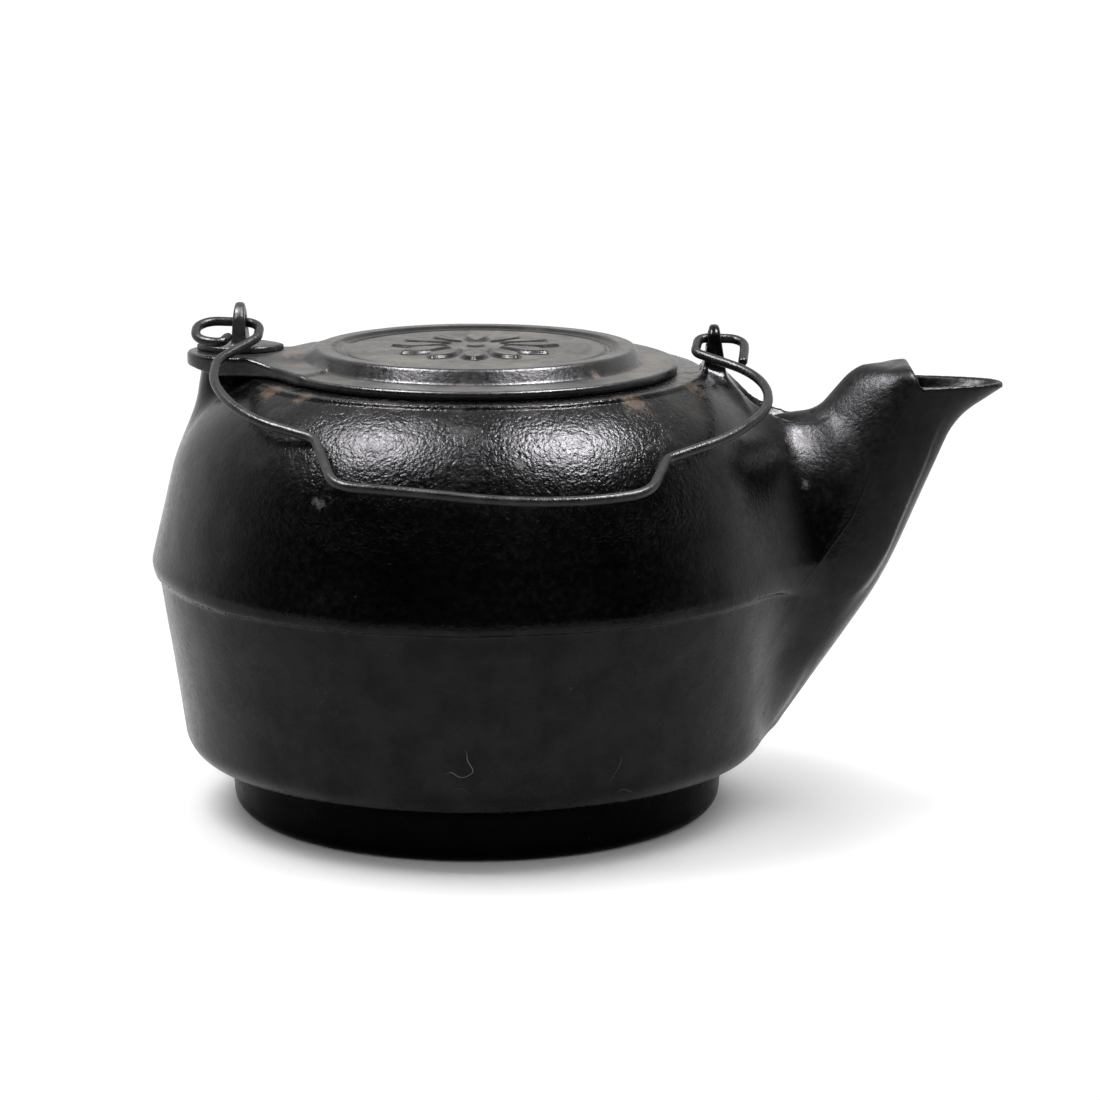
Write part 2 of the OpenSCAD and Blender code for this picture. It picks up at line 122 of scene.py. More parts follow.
class Table:
    """A field on a fine flat grid, read back between its points."""

    def __init__(self, fn, lo, hi, h):
        self.lo, self.h = np.array(lo, float), h
        nx, ny = (int((hi[k] - lo[k]) / h) + 2 for k in (0, 1))
        gx, gy = np.meshgrid(lo[0] + h * np.arange(nx), lo[1] + h * np.arange(ny), indexing="ij")
        self.v = [np.asarray(t, np.float32) for t in fn(gx, gy)]

    def __call__(self, x, y):
        shape = self.v[0].shape
        fx = np.clip((x - self.lo[0]) / self.h, 0, shape[0] - 1.001)
        fy = np.clip((y - self.lo[1]) / self.h, 0, shape[1] - 1.001)
        i, j = fx.astype(int), fy.astype(int)
        u, w = fx - i, fy - j
        return [
            t[i, j] * (1 - u) * (1 - w) + t[i + 1, j] * u * (1 - w)
            + t[i, j + 1] * (1 - u) * w + t[i + 1, j + 1] * u * w
            for t in self.v
        ]


def soft_min(a, b, k):
    """Smaller of two fields, with the corner between them rounded over a width k."""
    h = np.clip(0.5 + 0.5 * (b - a) / k, 0, 1)
    return b + (a - b) * h - k * h * (1 - h)


def soft_max(a, b, k):
    return -soft_min(-a, -b, k)


def smooth(v, lo, hi):
    """0 below lo, 1 above hi, and an even curve between."""
    t = np.clip((v - lo) / (hi - lo), 0, 1)
    return t * t * (3 - 2 * t)


WAVES = 7


def waves(p, size, seed):
    """Smooth low bumps, a sum of a few slanted waves."""
    r = np.random.default_rng(seed)
    out = 0
    for _ in range(WAVES):
        v = unit(r.normal(size=3)) * (2 * math.pi / (size * r.uniform(0.7, 1.6)))
        out = out + np.sin(p[0] * v[0] + p[1] * v[1] + p[2] * v[2] + r.uniform(0, 6.28))
    return out / WAVES


# ---------------------------------------------------------------- body casting
def body_outline(step, dome):
    """Half outline of the bowl, radius and height; step and dome are the corners above the belt."""
    line = rounded(
        [(0, 0), (104.5, 0), (106.1, 22), (124.3, 26.8), (BELT_R, BELT_Z), step, dome, (123.0, 173.1),
         (COLLAR_R, COLLAR_Z - 0.5)],
        [0, 7, 3, 13, 0, 0.8, 6, 62, 0], 14)
    return np.vstack([line, [(COLLAR_R - 0.7, COLLAR_Z), (0, COLLAR_Z)]])


# the upper half of the mould sat a little askew: flared at the rear, square at the front
flared = body_outline((BELT_R + 1.9, BELT_Z + 1), (DOME_R, BELT_Z + 5.5))
square = body_outline((BELT_R + 2.5, BELT_Z + 0.35), (BELT_R + 2.1, BELT_Z + 5))
cavity_line = rounded(
    [(0, 4), (101.4, 4), (103.3, 25.4), (121.6, 30.2), (132.0, BELT_Z), (133.8, BELT_Z + 5.5), (120.3, 171.1),
     (95.6, 185), (0, 185)],
    [0, 5.5, 6, 10, 0, 4, 58, 0, 0], 12)
tall_mouth = np.array([(0, 170), (MOUTH_R, 170), (MOUTH_R, 230), (0, 230)], float)
body_table = Table(
    lambda r, z: (outline_field(flared, r, z), outline_field(square, r, z),
                  np.minimum(outline_field(cavity_line, r, z), outline_field(tall_mouth, r, z))),
    (0, -8), (152, 216), 0.5)

STATIONS, EXTRA = 160, 25
front_edge = along(
    rounded([(117.8, 28.2), (129.8, 33.8), (174.9, 99.1), (204.4, 167.7), TIP], [0, 8, 180, 34, 0]), STATIONS)
back_edge = along(
    rounded([(62, 57), (116.3, 169.6), (145.3, 170.8), (165, 195.3), (BRIDGE_X, 195.3)], [0, 8, 14, 5, 0]), STATIONS)
# the spout runs on straight up past its lips, where the bridge and the beak cut it off
rise = np.outer(np.arange(1, EXTRA) * 1.2, [0, 1])
frac = np.r_[np.linspace(0, 1, STATIONS), 1 + np.arange(1, EXTRA) * 0.006]
front_edge, back_edge = (np.vstack([edge, edge[-1] + rise]) for edge in (front_edge, back_edge))


def spout_place(x, z):
    """For points of the X-Z plane: station, distance along the section, its length, and height under the foot."""
    f = np.zeros(x.shape)
    last = None
    done = np.zeros(x.shape, bool)
    for i in range(len(frac)):
        a, b = front_edge[i], back_edge[i]
        side = (b[0] - a[0]) * (z - a[1]) - (b[1] - a[1]) * (x - a[0])
        if last is not None:
            cross = ~done & ((last > 0) != (side > 0)) & (np.hypot(x - a[0], z - a[1]) < 140)
            f = np.where(cross, frac[i - 1] + (frac[i] - frac[i - 1]) * last / (last - side + 1e-12), f)
            done |= cross
        else:
            before = side <= 0
        last = side
    f = np.where(~done, np.where((z < 100) | before & (z < 150), 0.0, frac[-1]), f)
    f = np.where(~done & (x < 120) & (z > 60), 0.3, f)
    ax, az = np.interp(f, frac, front_edge[:, 0]), np.interp(f, frac, front_edge[:, 1])
    bx, bz = np.interp(f, frac, back_edge[:, 0]), np.interp(f, frac, back_edge[:, 1])
    length = np.hypot(bx - ax, bz - az)
    s = ((x - ax) * (bx - ax) + (z - az) * (bz - az)) / length
    along0 = unit(back_edge[0] - front_edge[0])
    cap = (x - front_edge[0][0]) * along0[1] * -1 + (z - front_edge[0][1]) * along0[0]
    return f, s, length, cap


spout_table = Table(spout_place, (90, -8), (240, 214), 0.5)


def ease(t):
    return (1 - np.cos(np.pi * np.clip(t, 0, 1))) / 2


def spout_field(x, y, z, t):
    """The spout's skin moved inwards by t: an egg-shaped section, narrower and fuller towards the lips."""
    f, s, length, cap = spout_table(x, z)
    w = 20 + 11 * (1 - ease((f - 0.3) / 0.7)) - t
    k = 0.38 + 0.52 * np.clip((f - 0.5) / 0.5, 0, 1) ** 2
    c = length * np.clip(k, 0, 0.92)
    low = s < c
    half = np.where(low, c, length - c) - t
    u = (s - c) / half
    a = np.abs(u)
    edge = 0.28
    g = (y / w) ** 2 + edge * a + (1 - edge) * a * a - 1
    slope = np.sqrt((2 * y / w ** 2) ** 2 + ((edge + 2 * (1 - edge) * a) / half) ** 2 + 1e-6)
    return np.maximum(g / slope, cap + t)


# the parting line, which leaves the belt and runs up the side of the spout
seam = rounded(
    [(-300, BELT_Z), (137.2, BELT_Z), (146, 112.5), (158.7, 129), (167.5, 149.5), (175.5, 166), (188.6, 184),
     (200, 205)],
    [0, 5, 12, 30, 60, 60, 10, 0], 5)


def seam_field(x, y):
    """Distance from the parting line, positive above it."""
    d = np.full(x.shape, 1e3)
    for a, b in zip(seam[:-1], seam[1:]):
        d = np.minimum(d, seg_dist(x, y, a, b))
    level = np.interp(x, seam[:, 0], seam[:, 1])
    return (np.where(y > level, d, -d),)


seam_table = Table(seam_field, (-150, -8), (240, 214), 1.0)


def cone_field(x, y, z, cx, z0, r0, z1, r1):
    """Upright cone frustum on the axis x = cx."""
    r = np.hypot(x - cx, y)
    slope = (r1 - r0) / (z1 - z0)
    side = (r - r0 - slope * (z - z0)) / math.hypot(1, slope)
    return soft_max(np.maximum(side, z0 - z), z - z1, 1.0)


def ear_field(x, y, z, cx, cz, r, t0, t1, w1, drop):
    """Upright ear: a round top over a widening foot, thinner towards the top."""
    dz = z - cz
    f = np.clip(-dz / drop, 0, 1.3)
    half_w = r + (w1 / 2 - r) * f
    flat = np.where(dz > 0, np.hypot(y, dz) - r, np.abs(y) - half_w)
    g = np.clip((r - dz) / (r + drop), 0, 1.2)
    thick = np.abs(x - cx) - (t0 / 2 + (t1 / 2 - t0 / 2) * g)
    return np.maximum(soft_max(flat, thick, 1.6), -dz - drop - 4)


def body_field(p):
    x, y, z = p
    r = np.hypot(x, y)
    wander = 0.5 * waves((x, y, z * 0), 45, 5)
    askew = smooth(-x / np.maximum(r, 1), 0.55, 0.97)
    ringed, plain, inner = body_table(r, z + wander * smooth(30 - np.abs(z - BELT_Z), 0, 30))
    outer = plain + (ringed - plain) * askew
    sway = waves(p, 70, 3) * 0.28 + waves(p, 24, 4) * 0.10
    near = x > 84
    sp_out, sp_in = np.full(x.shape, 60.0), np.full(x.shape, 60.0)
    if near.any():
        sp_out[near] = spout_field(x[near], y[near], z[near], 0.0)
        sp_in[near] = spout_field(x[near], y[near], z[near], WALL + 0.2)
    pad = 0.7 * smooth(1 - ((x - 174) / 10) ** 2 - (y / 13) ** 2, 0, 0.6)
    sp_out = soft_max(sp_out, z - BRIDGE_Z + pad, 7.0)
    # the neck leans back along a slanted ridge on each side
    ridge = -0.44 * (x - 156) + 0.70 * (np.abs(y) - 18.4) + 0.56 * (z - 172.5)
    sp_out = soft_max(sp_out, ridge, 9.0)
    beak = np.maximum(188.2 - (z - LIP_Z) * 0.5 - x, LIP_Z - z)
    sp_out = soft_max(sp_out, -beak, 1.4)
    sp_in = np.maximum(np.maximum(sp_in, z - BRIDGE_Z + 6.0), ridge + 8.0)
    # the spout flows into the body as broadly as it stands out from it
    edge_x = np.interp(z, front_edge[:STATIONS, 1], front_edge[:STATIONS, 0])
    bowl_x = np.interp(z, [28, 50, 103, 140, 165], [125, 127.3, 136, 131, 122])
    share = (0.75 + 0.5 * smooth(-z, -75, -45)) * smooth(np.abs(y), 2, 22)
    outer = soft_min(outer, sp_out, np.clip((edge_x - bowl_x) * share, 7, 34))
    boss = cone_field(x, y, z, -REAR_X, 160, 21.5, BOSS_Z, 16.5)
    outer = soft_min(outer, boss, 6.0)
    ear = ear_field(x, y, z, FRONT_X, FRONT_EYE, 6.2, 4.4, 13.0, 26.0, 24.0)
    outer = soft_min(outer, ear, np.clip(14 - 0.8 * (z - 178), 3, 12))
    # a lump of crust at the ear's foot
    crust = np.linalg.norm([x - 91, y + 9, (z - 188) * 1.6], axis=0) - 3.2 - 1.4 * waves(p, 4, 6)
    outer = soft_min(outer, crust, 3.0) - sway
    # the collar's top stays flat under the lid
    collar = (r < COLLAR_R + 2) & (z > 180) & (x > -82) & (x < 96)
    outer = np.where(collar, np.maximum(outer, z - COLLAR_Z), outer)
    inner = soft_min(inner, sp_in, 4.0)
    plug = np.maximum(np.hypot(x + REAR_X, y) - 16.4, BOSS_UNDER - z)
    inner = np.maximum(inner, -plug)
    d = np.maximum(outer, -inner)
    eye = np.hypot(y, z - FRONT_EYE) - EYE_R
    d = soft_max(d, -np.maximum(eye, np.abs(x - FRONT_X) - 12), 0.8)
    bore = np.maximum(np.hypot(x + REAR_X, y) - SHANK_R, 160 - z)
    return np.maximum(np.maximum(d, -bore), -z)


# ---------------------------------------------------------------- lid
lid_line = rounded(
    [(0, LID_Z), (LID_R, LID_Z), (LID_R, LID_TOP), (71.2, LID_TOP), (67.6, DISC_Z), (61.2, DISC_Z),
     (59.2, DISC_Z - RECESS_DEPTH), (0, DISC_Z - RECESS_DEPTH)],
    [0, 0.8, 1.3, 1.6, 1.5, 1.2, 1.2, 0], 6)
lid_table = Table(lambda r, z: (outline_field(lid_line, r, z),), (0, 180), (130, 206), 0.25)


PETALS = 12


def relief(x, y):
    """Rosette of twelve petals round a small knob, with a bead and a groove, in millimetres above the recess."""
    r, g = np.hypot(x, y), np.arctan2(y, x)
    step = 2 * math.pi / PETALS
    g = (g + step / 2) % step - step / 2
    u, v = r * np.cos(g), r * np.sin(g)
    f = np.clip((u - 9) / 27.0, 0, 1)
    half = 6.0 * np.sin(np.pi * f ** 1.6) ** 0.7
    petal = np.clip((half - np.abs(v)) / 1.9, 0, 1)
    vein = np.clip(1 - np.abs(v) / 0.8, 0, 1) * np.clip((half - 1.2) / 2, 0, 1)
    knob = np.clip((4.6 - r) / 1.5, 0, 1)
    ring = np.exp(-((r - 40.5) / 1.2) ** 2) * 0.3 - np.exp(-((r - 56.5) / 1.2) ** 2) * 0.9
    soft = petal * petal * (3 - 2 * petal)
    return 1.8 * soft - 0.35 * vein + 1.3 * knob * knob * (3 - 2 * knob) + ring


def lid_field(p):
    x, y, z = p
    r = np.hypot(x, y)
    d = lid_table(r, z)[0]
    inside = (r < 60) & (z > 195)
    d = np.where(inside, d - relief(x, y), d)
    lug_r = np.hypot(x + REAR_X, y) - LUG_R
    half = LUG_R + 5 * np.clip((x + REAR_X) / 34.8, 0, 1)
    arm = np.maximum(np.abs(y) - half, np.maximum(-REAR_X - x, x + 66))
    plan = soft_min(np.minimum(lug_r, arm), r - LID_R, 16.0)
    fall = 4.4 * smooth(x, -98, -76) * smooth(np.abs(y), 9, 25)
    lug = soft_max(plan + 40 * smooth(x, -74, -46), z - LUG_TOP + fall, 1.6)
    lug = soft_max(lug, LID_Z + 2.6 * smooth(-x - REAR_X, 6, 22) - z, 1.0)
    d = soft_min(d, lug, 5.0)
    d = d - waves(p, 60, 11) * 0.16 - waves(p, 17, 12) * 0.05
    d = np.maximum(d, LID_Z - z)
    pocket = np.maximum(r - 62.5, z - (DISC_Z - RECESS_DEPTH - LID_WALL))
    d = np.maximum(d, -pocket)
    q = np.hypot(x + REAR_X, y)
    d = np.maximum(d, -np.maximum(q - 17.5, z - (BOSS_Z + 0.3)))
    return np.maximum(d, -(q - SHANK_R - 0.1))


# ---------------------------------------------------------------- rear ear
def rear_ear_field(p):
    x, y, z = p
    u = x + REAR_X
    ear = ear_field(x, y, z, -REAR_X, REAR_EYE, 8.5, 3.9, 7.2, 19.0, 10.7)
    ear = np.maximum(ear, LUG_TOP + LEAF_GAP + 0.05 - z)
    # the leaf lies between two equal arcs
    arc = (LEAF_LONG ** 2 + LEAF_WIDE ** 2) / (2 * LEAF_WIDE)
    leaf = np.maximum(np.hypot(u, y - (arc - LEAF_WIDE)) - arc, np.hypot(u, y + (arc - LEAF_WIDE)) - arc)
    top = LUG_TOP + LEAF_GAP + LEAF_T
    leaf = np.maximum(soft_max(leaf, z - top, 1.2), LUG_TOP + LEAF_GAP - z)
    d = soft_min(ear, leaf, 1.6)
    d = d - waves(p, 9, 21) * 0.10
    eye = np.maximum(np.hypot(y, z - REAR_EYE) - EYE_R, np.abs(u) - 8)
    d = soft_max(d, -eye, 0.8)
    q = np.hypot(u, y)
    shank = np.maximum(q - SHANK_R + 0.02, np.maximum(z - top + 0.5, BOSS_UNDER - 4 - z))
    rivet = np.maximum(np.maximum(q - 7 + (BOSS_UNDER - 2 - z) * 0.5, z - BOSS_UNDER + 2), BOSS_UNDER - 5 - z)
    return np.minimum(np.minimum(d, shank), rivet)


# ---------------------------------------------------------------- from a field to a mesh
def sample(field, lo, hi, h):
    """Field values on a grid of step h: coarse far from the surface, exact near it."""
    n = [int(math.ceil((hi[k] - lo[k]) / h)) + 1 for k in range(3)]
    n = [int(math.ceil(m / 4)) * 4 for m in n]
    ax = [lo[k] + h * np.arange(n[k]) for k in range(3)]
    cx = [a.reshape(-1, 4).mean(1) for a in ax]
    g = np.meshgrid(*cx, indexing="ij")
    coarse = field([q.ravel() for q in g]).reshape(g[0].shape).astype(np.float32)
    full = coarse.repeat(4, 0).repeat(4, 1).repeat(4, 2)
    idx = np.flatnonzero((np.abs(coarse) < 6.2 * h).repeat(4, 0).repeat(4, 1).repeat(4, 2))
    out = full.ravel()
    for part in np.array_split(idx, max(1, len(idx) // 400000)):
        i, j, k = np.unravel_index(part, full.shape)
        out[part] = field([ax[0][i], ax[1][j], ax[2][k]])
    return ax, out.reshape(full.shape)


def nets(field, lo, hi, h, polish=3):
    """Quads on the zero level of a field (surface nets), moved onto it by a few Newton steps."""
    ax, d = sample(field, lo, hi, h)
    neg = d < 0
    shape = tuple(m - 1 for m in d.shape)
    corners = [(i, j, k) for i in (0, 1) for j in (0, 1) for k in (0, 1)]

    def corner(a, c):
        return a[c[0]:c[0] + shape[0], c[1]:c[1] + shape[1], c[2]:c[2] + shape[2]]

    count = sum(corner(neg, c).astype(np.int8) for c in corners)
    act = np.flatnonzero((count > 0) & (count < 8))
    index = np.full(shape, -1, np.int64)
    index.ravel()[act] = np.arange(len(act))
    ci = np.stack(np.unravel_index(act, shape), 1)
    total = np.zeros((len(act), 3))
    hits = np.zeros(len(act))
    value = {c: d[ci[:, 0] + c[0], ci[:, 1] + c[1], ci[:, 2] + c[2]].astype(float) for c in corners}
    for a in corners:
        for k in range(3):
            if a[k] == 0:
                b = tuple(1 if m == k else a[m] for m in range(3))
                va, vb = value[a], value[b]
                cut = (va < 0) != (vb < 0)
                t = np.where(cut, va / np.where(cut, va - vb, 1), 0)
                pos = np.array(a, float)[None, :].repeat(len(act), 0)
                pos[:, k] += t
                total += pos * cut[:, None]
                hits += cut
    v = (ci + total / hits[:, None]) * h + np.array([a[0] for a in ax])
    quads = []
    for k in range(3):
        sl0, sl1 = [slice(None)] * 3, [slice(None)] * 3
        sl0[k], sl1[k] = slice(0, -1), slice(1, None)
        a, b = neg[tuple(sl0)], neg[tuple(sl1)]
        e = np.stack(np.nonzero(a != b), 1)
        m, n = (k + 1) % 3, (k + 2) % 3
        e = e[(e[:, m] > 0) & (e[:, n] > 0) & (e[:, m] < shape[m]) & (e[:, n] < shape[n])]
        first = a[e[:, 0], e[:, 1], e[:, 2]]

        def cell(dm, dn):
            q = e.copy()
            q[:, m] -= dm
            q[:, n] -= dn
            return index[q[:, 0], q[:, 1], q[:, 2]]

        quad = np.stack([cell(1, 1), cell(0, 1), cell(0, 0), cell(1, 0)], 1)
        quad[~first] = quad[~first][:, ::-1]
        quads.append(quad)
    quads = np.vstack(quads)
    eps = 0.04
    for _ in range(polish):
        p = [v[:, 0], v[:, 1], v[:, 2]]
        base = field(p)
        grad = np.stack([(field([p[k] + eps * (m == k) for k in range(3)]) - base) / eps for m in range(3)], 1)
        size = np.maximum((grad ** 2).sum(1), 0.15)
        step = grad * (base / size)[:, None]
        far = np.linalg.norm(step, axis=1)
        step *= np.minimum(1, 0.5 * h / np.maximum(far, 1e-9))[:, None]
        v = v - step
    return v, quads


def mesh_object(name, v, faces, material, attrs=None):
    """A smooth-shaded object from vertices in millimetres and faces of equal length."""
    me = bpy.data.meshes.new(name)
    me.vertices.add(len(v))
    me.vertices.foreach_set("co", (np.asarray(v) * S).astype(np.float32).ravel())
    faces = np.asarray(faces)
    me.loops.add(faces.size)
    me.loops.foreach_set("vertex_index", faces.astype(np.int32).ravel())
    me.polygons.add(len(faces))
    me.polygons.foreach_set("loop_start", (np.arange(len(faces)) * faces.shape[1]).astype(np.int32))
    me.polygons.foreach_set("use_smooth", np.full(len(faces), True))
    me.update(calc_edges=True)
    for key, val in (attrs or {}).items():
        at = me.attributes.new(key, "FLOAT", "POINT")
        at.data.foreach_set("value", np.asarray(val, np.float32))
    me.materials.append(material)
    ob = bpy.data.objects.new(name, me)
    bpy.context.scene.collection.objects.link(ob)
    return ob


# ---------------------------------------------------------------- materials
def new_material(name):
    m = bpy.data.materials.new(name)
    m.use_nodes = True
    nt = m.node_tree
    nt.nodes.clear()
    return m, nt


class Net:
    """Short words for building a node tree."""

    def __init__(self, nt):
        self.nt = nt

    def node(self, kind, **kw):
        n = self.nt.nodes.new(kind)
        for k, v in kw.items():
            setattr(n, k, v)
        return n

    def put(self, socket, value):
        if hasattr(value, "is_output"):
            self.nt.links.new(value, socket)
        else:
            socket.default_value = value

    def coord(self):
        return self.node("ShaderNodeTexCoord").outputs["Object"]

    def noise(self, vec, scale, detail=4.0, rough=0.55, dist=0.0):
        n = self.node("ShaderNodeTexNoise")
        self.put(n.inputs["Vector"], vec)
        self.put(n.inputs["Scale"], scale)
        self.put(n.inputs["Detail"], detail)
        self.put(n.inputs["Roughness"], rough)
        self.put(n.inputs["Distortion"], dist)
        return n.outputs["Fac"]

    def voronoi(self, vec, scale):
        n = self.node("ShaderNodeTexVoronoi")
        self.put(n.inputs["Vector"], vec)
        self.put(n.inputs["Scale"], scale)
        return n.outputs["Distance"]

    def split(self, vec):
        n = self.node("ShaderNodeSeparateXYZ")
        self.put(n.inputs[0], vec)
        return n.outputs

    def from_mark(self, p, mark):
        """Distance from a mark, in metres."""
        n = self.node("ShaderNodeVectorMath", operation="DISTANCE")
        self.put(n.inputs[0], p)
        n.inputs[1].default_value = tuple(c * S for c in mark[:3])
        return n.outputs["Value"]

    def surface(self):
        """A Principled shader on the material's output."""
        shader = self.node("ShaderNodeBsdfPrincipled")
        self.nt.links.new(shader.outputs[0], self.node("ShaderNodeOutputMaterial").inputs[0])
        return shader

    def math(self, op, a, b=0.0, c=0.0, clamp=False):
        n = self.node("ShaderNodeMath", operation=op, use_clamp=clamp)
        self.put(n.inputs[0], a)
        self.put(n.inputs[1], b)
        self.put(n.inputs[2], c)
        return n.outputs[0]

    def ramp(self, x, lo, hi, a=0.0, b=1.0, smooth=True):
        n = self.node("ShaderNodeMapRange", interpolation_type="SMOOTHSTEP" if smooth else "LINEAR")
        self.put(n.inputs[0], x)
        for i, val in enumerate((lo, hi, a, b)):
            self.put(n.inputs[i + 1], val)
        return n.outputs[0]

    def mix(self, f, a, b):
        n = self.node("ShaderNodeMix", data_type="RGBA")
        self.put(n.inputs[0], f)
        self.put(n.inputs[6], a)
        self.put(n.inputs[7], b)
        return n.outputs[2]

    def attr(self, name):
        return self.node("ShaderNodeAttribute", attribute_name=name).outputs["Fac"]

    def bump(self, height, distance, strength=1.0, normal=None):
        n = self.node("ShaderNodeBump")
        self.put(n.inputs["Height"], height)
        self.put(n.inputs["Distance"], distance)
        self.put(n.inputs["Strength"], strength)
        if normal is not None:
            self.put(n.inputs["Normal"], normal)
        return n.outputs["Normal"]


def iron(name, base, rough, ior, pebble, rust=0.3, wear=0.3, flats=0.0, seam_line=False):
    """Old blackened iron: pebbled skin, cloudy gloss, dust on what faces up, rust and lint at named places.

    flats greys what lies level, as on the lid; seam_line adds the marks that only the body has, and a painted shade
    that dims the foot."""
    m, nt = new_material(name)
    n = Net(nt)
    p = n.coord()
    px, py, pz = n.split(p)
    bs = n.surface()
    facing_up = n.split(n.node("ShaderNodeNewGeometry").outputs["Normal"])[2]
    up = n.ramp(facing_up, 0.25, 0.95)
    from_axis = n.math("SQRT", n.math("ADD", n.math("MULTIPLY", px, px), n.math("MULTIPLY", py, py)))
    grain = n.noise(p, 720.0, 2.0, 0.5)
    peb = n.noise(p, 380.0, 2.0, 0.5)
    blob = n.noise(p, 110.0, 3.0, 0.5)
    broad = n.noise(p, 22.0, 3.0, 0.5)
    patch = n.noise(p, 38.0, 5.0, 0.65, 0.6)
    pits = n.ramp(n.voronoi(p, 420.0), 0.0, 0.3)
    height = n.math("ADD", grain, n.math("MULTIPLY", peb, 0.7))
    height = n.math("ADD", height, n.math("MULTIPLY", blob, 0.9))
    height = n.math("ADD", height, n.math("MULTIPLY", pits, 0.10))
    if seam_line:
        # coarsest on the shoulder and on the spout's neck, smoother elsewhere
        shoulder = n.math("MULTIPLY", n.ramp(px, -0.098, -0.060), n.ramp(px, 0.080, 0.105, 1.0, 0.0))
        neck = n.math("MULTIPLY", n.ramp(px, 0.130, 0.142), n.ramp(px, 0.172, 0.186, 0.45, 0.0))
        dull_spout = n.math("MULTIPLY", n.ramp(px, 0.130, 0.142), n.ramp(pz, 0.122, 0.152, 0.0, 0.14))
        rough = n.math("ADD", rough, dull_spout)
        coarse = n.math("MULTIPLY", n.math("ADD", shoulder, neck), n.ramp(pz, 0.122, 0.152))
        height = n.math("MULTIPLY", height, n.math("ADD", n.math("MULTIPLY", coarse, 0.52), 0.18))
        rough = n.math("ADD", rough, n.math("MULTIPLY", coarse, 0.03))
    nor = n.bump(height, 0.00042 * pebble, 1.0)
    colour = n.mix(n.ramp(patch, 0.35, 0.7), (*base, 1), (*[c * 1.6 + 0.0003 for c in base], 1))
    r = n.math("ADD", rough, n.math("MULTIPLY", n.math("SUBTRACT", broad, 0.5), 0.22))
    r = n.math("ADD", r, n.math("MULTIPLY", n.math("SUBTRACT", peb, 0.5), 0.30))
    dust_cloud = n.ramp(n.noise(p, 60.0, 6.0, 0.7), 0.50, 0.70)
    dusty = n.math("MULTIPLY", dust_cloud, n.math("MULTIPLY", up, rust), clamp=True)
    colour = n.mix(dusty, colour, DUST)
    r = n.math("ADD", r, n.math("MULTIPLY", dusty, 0.35))
    if flats:
        worn = n.ramp(n.noise(p, 45.0, 6.0, 0.7), 0.30, 0.62, 0.35, 1.0)
        flat = n.math("MULTIPLY", n.ramp(facing_up, 0.93, 0.995), worn)
        # the lug is darker than the rest, and the flange a little darker than the disc
        flat = n.math("MULTIPLY", flat, n.ramp(px, -0.094, -0.066, 0.25 * flats, flats), clamp=True)
        disc = n.ramp(from_axis, 0.060, 0.066, 1.0, 0.0)
        flat = n.math("MULTIPLY", flat, n.math("ADD", 0.6, n.math("MULTIPLY", disc, 0.4)))
        colour = n.mix(flat, colour, n.mix(n.ramp(patch, 0.4, 0.62), FLAT_GREY, FLAT_TAN))
        r = n.math("ADD", r, n.math("MULTIPLY", flat, 0.28))
    scuff = n.ramp(n.noise(p, 150.0, 5.0, 0.7, 1.5), 0.66, 0.76)
    colour = n.mix(n.math("MULTIPLY", scuff, wear, clamp=True), colour, SCUFF)
    edge = n.noise(p, 330.0, 6.0, 0.8, 0.3)
    for mark, tint in [(mark, RUST) for mark in RUST_SPOTS] + [(mark, CHIP) for mark in CHIPS]:
        near = n.ramp(n.from_mark(p, mark), 0, mark[3] * S, 0.36, -0.08, smooth=False)
        mask = n.ramp(n.math("ADD", edge, near), 0.60, 0.84, 0.0, 0.6)
        colour = n.mix(mask, colour, tint)
        r = n.math("ADD", r, n.math("MULTIPLY", mask, 0.4))
    if seam_line:
        ridge = n.math("SUBTRACT", 1.0, n.ramp(n.math("ABSOLUTE", n.attr("seam")), 0.15, 0.9), clamp=True)
        nor = n.bump(ridge, 0.00006, 1.0, nor)
        # raised rim of the mouth collar
        rim = n.math("MULTIPLY", n.ramp(from_axis, 0.0962, 0.0994, 1.0, 0.0), n.ramp(pz, 0.178, 0.183))
        nor = n.bump(rim, 0.0018, 1.0, nor)
        strand = n.math("ABSOLUTE", n.math("SUBTRACT", n.noise(p, 48.0, 1.0, 0.5, 0.4), 0.5))
        strand = n.math("SUBTRACT", 1.0, n.ramp(strand, 0.001, 0.005))
        for mark in LINT:
            here = n.ramp(n.from_mark(p, mark), mark[3] * 0.3 * S, mark[3] * S, 0.34, 0.0)
            colour = n.mix(n.math("MULTIPLY", strand, here), colour, LINT_GREY)
    cloud = n.noise(p, 55.0, 6.0, 0.7, 0.2)
    shine = n.ramp(cloud, 0.3, 0.7, 0.38, 0.62)
    if flats:
        # the dusty recess of the disc is dull
        shine = n.math("MULTIPLY", shine, n.math("SUBTRACT", 1.0, n.math("MULTIPLY", disc, 0.5)))
    if seam_line:
        # painted shade: the foot's reflections are dimmed to stand in for the shadowed floor beside it
        shine = n.math("MULTIPLY", shine, n.ramp(pz, 0.022, 0.026, 0.12, 1.0))
    n.put(bs.inputs["Specular IOR Level"], shine)
    n.put(bs.inputs["Base Color"], colour)
    n.put(bs.inputs["Roughness"], n.math("MINIMUM", n.math("MAXIMUM", r, 0.14), 0.85))
    n.put(bs.inputs["Normal"], nor)
    bs.inputs["Metallic"].default_value = 0.0
    bs.inputs["IOR"].default_value = ior
    return m


